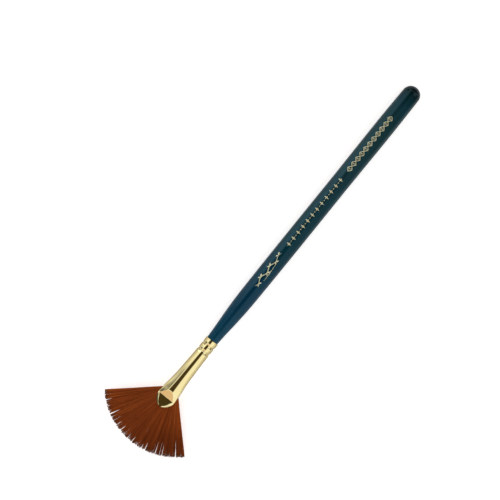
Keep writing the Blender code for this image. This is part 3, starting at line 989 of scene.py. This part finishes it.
def filament_tubes(centre):
    """Points and faces of thin tapered tubes round the middle lines."""
    fine = np.interp(
        FILAMENT_STATIONS,
        (0.0, TAPER_START, 1.0),
        (FILAMENT_RADIUS, FILAMENT_RADIUS, FILAMENT_TIP_RADIUS),
    )
    along = np.diff(centre, axis=1)
    along = np.concatenate([along, along[:, -1:]], axis=1)
    along /= np.linalg.norm(along, axis=2, keepdims=True)
    flat = np.zeros_like(along[:, :, 0])
    sideways = np.stack([-along[:, :, 1], along[:, :, 0], flat], axis=2)
    sideways /= np.linalg.norm(sideways, axis=2, keepdims=True)
    upwards = np.cross(along, sideways)
    corners = []
    for side in range(FILAMENT_SIDES):
        turn = 2 * math.pi * (side + 0.5) / FILAMENT_SIDES
        outwards = math.cos(turn) * sideways + math.sin(turn) * upwards
        corners.append(centre + fine[None, :, None] * outwards)
    points = np.stack(corners, axis=2).reshape(-1, 3)
    stations = len(FILAMENT_STATIONS)
    faces = []
    for filament in range(len(centre)):
        faces += tube_faces(stations, FILAMENT_SIDES, first=filament * stations * FILAMENT_SIDES)
    return points.tolist(), faces


def make_hair_lock(index, node):
    width = 2 * FAN_HALF_ANGLE / len(LOCKS)
    low = -FAN_HALF_ANGLE + width * index
    base, centre, share, angle = filament_lines(low, low + width)
    tone = filament_tones(base, share, angle)
    points, faces = filament_tubes(centre)
    piece = new_piece(f"fan_{node}", points, faces, hair, FILAMENT_SHARP_ANGLE)
    for name, values in (("tone", tone), ("along", share)):
        values = np.repeat(values.reshape(-1), FILAMENT_SIDES)
        attribute = piece.data.attributes.new(name, "FLOAT", "POINT")
        attribute.data.foreach_set("value", values.astype(np.float32))
    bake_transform(piece)
    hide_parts(node)
    return piece


for number, lock in enumerate(LOCKS):
    last_lock = make_hair_lock(number, lock)
# the foot of the hair is drawn by the filaments themselves, which start behind the V
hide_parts("hair_root")

for node, material in (("epoxy_plug", make_resin()), ("binding_thread", make_thread_material())):
    frame["nodes"][node].data.materials.clear()
    frame["nodes"][node].data.materials.append(material)


# ---------------------------------------------------------------- floor, light and camera
FLOOR_HALF_SIZE = 6.0
FLOOR_Z = -0.1 * MM
FLOOR_GLOW = 0.64
FLOOR_GLOW_IN_MIRRORS = 0.10

VIEW_WIDTH = 209.5 * MM  # across the picture, at the height of the brush's axis
VIEW_OFFSET = Vector((1.72 * MM, -11.57 * MM))  # from the middle of the CAD's box
LENS = 100.0
SENSOR = 36.0
ROLL = math.radians(128.98)

# The light tent. A direction is a unit vector: x along the brush to its tips, y across it, z up. Angles
# start at straight up and turn about the brush (SLOT_CENTRE to SLOT_BLUR, WARM_SIDES) or along it.
# Each pair is where a change starts and ends.
SLOT_CENTRE = math.radians(-7.5)
SLOT_HALF_WIDTH = math.radians(22.5)
SLOT_BLUR = math.radians(3.5)
SLOT_REAR = (math.radians(-50.0), math.radians(-43.0))
SLOT_FRONT = (math.radians(13.0), math.radians(20.0))
SLOT_COLOUR = (0.060, 0.042, 0.016)
WARM_START = (math.radians(32.0), math.radians(40.0))
WARM_SIDES = (math.radians(20.0), math.radians(40.0))
WARM_COLOUR = (0.78, 0.57, 0.47)
WHITE = (1.0, 1.0, 1.0)


def make_floor():
    mesh = bpy.data.meshes.new("floor")
    size = FLOOR_HALF_SIZE
    corners = [(x, y, FLOOR_Z) for x, y in ((-size, -size), (size, -size), (size, size), (-size, size))]
    mesh.from_pydata(corners, [], [(0, 1, 2, 3)])
    material, nodes, shader = new_material("pale_floor")
    shader["Base Color"].default_value = (0.90, 0.90, 0.90, 1.0)
    shader["Roughness"].default_value = 0.9
    shader["Specular IOR Level"].default_value = 0.1
    shader["Emission Color"].default_value = (*WHITE, 1.0)
    # the glow that makes the floor white stays out of the reflections in the brush
    mirrored = nodes.new("ShaderNodeLightPath").outputs["Is Glossy Ray"]
    glow = nodes.remap(mirrored, (0.0, 1.0), (FLOOR_GLOW, FLOOR_GLOW_IN_MIRRORS))
    nodes.feed(shader["Emission Strength"], glow)
    mesh.materials.append(material)
    floor = bpy.data.objects.new("floor", mesh)
    bpy.context.scene.collection.objects.link(floor)


def tent_dimming(nodes, x, y, z):
    """How bright the tent's wall is in a direction: dimmer near the floor, nearly black where one of
    four cards stands, and brighter in a strip on the -Y side.
    """
    beyond_plus_y = nodes.product(
        nodes.ease(y, (0.10, 0.50)),
        nodes.band(x, (-0.40, -0.20), (-0.14, 0.05), 0.94),
    )
    beyond_lips = nodes.product(
        nodes.ease(y, (-0.72, -0.58), (0.90, 0.0)),
        nodes.ease(x, (0.09, 0.17)),
    )
    beyond_round_end = nodes.ease(x, (-0.86, -0.74), (0.94, 0.0))
    low_behind = nodes.product(
        nodes.band(x, (-0.62, -0.50), (-0.35, -0.20), 0.90),
        nodes.ease(z, (0.35, 0.50), (1.0, 0.0)),
    )
    bright_strip = nodes.product(
        nodes.ease(y, (-0.50, -0.15), (1.0, 0.0)),
        nodes.band(x, (-0.120, -0.085), (0.005, 0.065), 0.85),
    )
    wall = nodes.ease(z, (0.12, 0.40), (0.60, 1.0))
    below_horizon = nodes.ease(z, (0.0, 0.12), (0.36, 0.0))
    dimming = nodes.math("ADD", wall, below_horizon)
    for card in (beyond_plus_y, beyond_lips, beyond_round_end, low_behind):
        dimming = nodes.product(dimming, nodes.math("SUBTRACT", 1.0, card))
    return nodes.product(dimming, nodes.math("ADD", 1.0, bright_strip))


def make_light():
    """A white light tent with a nearly black slot overhead, which leans towards -Y and the round end, a
    warm patch beyond the lips, and the cards of tent_dimming.
    """
    world = bpy.data.worlds.new("light_tent")
    bpy.context.scene.world = world
    world.use_nodes = True
    nodes = Nodes(world.node_tree)
    x, y, z = nodes.split(nodes.new("ShaderNodeTexCoord").outputs["Generated"])
    sideways = nodes.math("ARCTAN2", y, z)
    lengthways = nodes.math("ARCTAN2", x, z)
    across = nodes.math("ABSOLUTE", nodes.math("SUBTRACT", sideways, SLOT_CENTRE))
    slot_edge = (SLOT_HALF_WIDTH - SLOT_BLUR, SLOT_HALF_WIDTH + SLOT_BLUR)
    slot = nodes.product(
        nodes.ease(across, slot_edge, (1.0, 0.0)),
        nodes.band(lengthways, SLOT_REAR, SLOT_FRONT),
    )
    warm = nodes.product(
        nodes.ease(lengthways, WARM_START),
        nodes.ease(across, WARM_SIDES, (1.0, 0.0)),
    )
    tent = nodes.mix(warm, WHITE, WARM_COLOUR)
    tent = nodes.mix(1.0, tent, tent_dimming(nodes, x, y, z), "MULTIPLY")
    colour = nodes.mix(slot, tent, SLOT_COLOUR)
    # the tent lights the brush and shows in its reflections; the backdrop itself is plain white
    seen = nodes.new("ShaderNodeLightPath").outputs["Is Camera Ray"]
    background = world.node_tree.nodes["Background"]
    nodes.feed(background.inputs["Color"], nodes.mix(seen, colour, WHITE))
    background.inputs["Strength"].default_value = 1.0


def make_camera():
    data = bpy.data.cameras.new("camera")
    data.lens = LENS
    data.sensor_width = SENSOR
    camera = bpy.data.objects.new("camera", data)
    bpy.context.scene.collection.objects.link(camera)
    middle = (cad_low + cad_high) / 2
    distance = VIEW_WIDTH * LENS / SENSOR
    camera.location = (middle.x + VIEW_OFFSET.x, middle.y + VIEW_OFFSET.y, AXIS_Z + distance)
    camera.rotation_euler = (0.0, 0.0, ROLL)
    bpy.context.scene.camera = camera


make_floor()
make_light()
make_camera()
bpy.context.scene.view_settings.view_transform = "Standard"
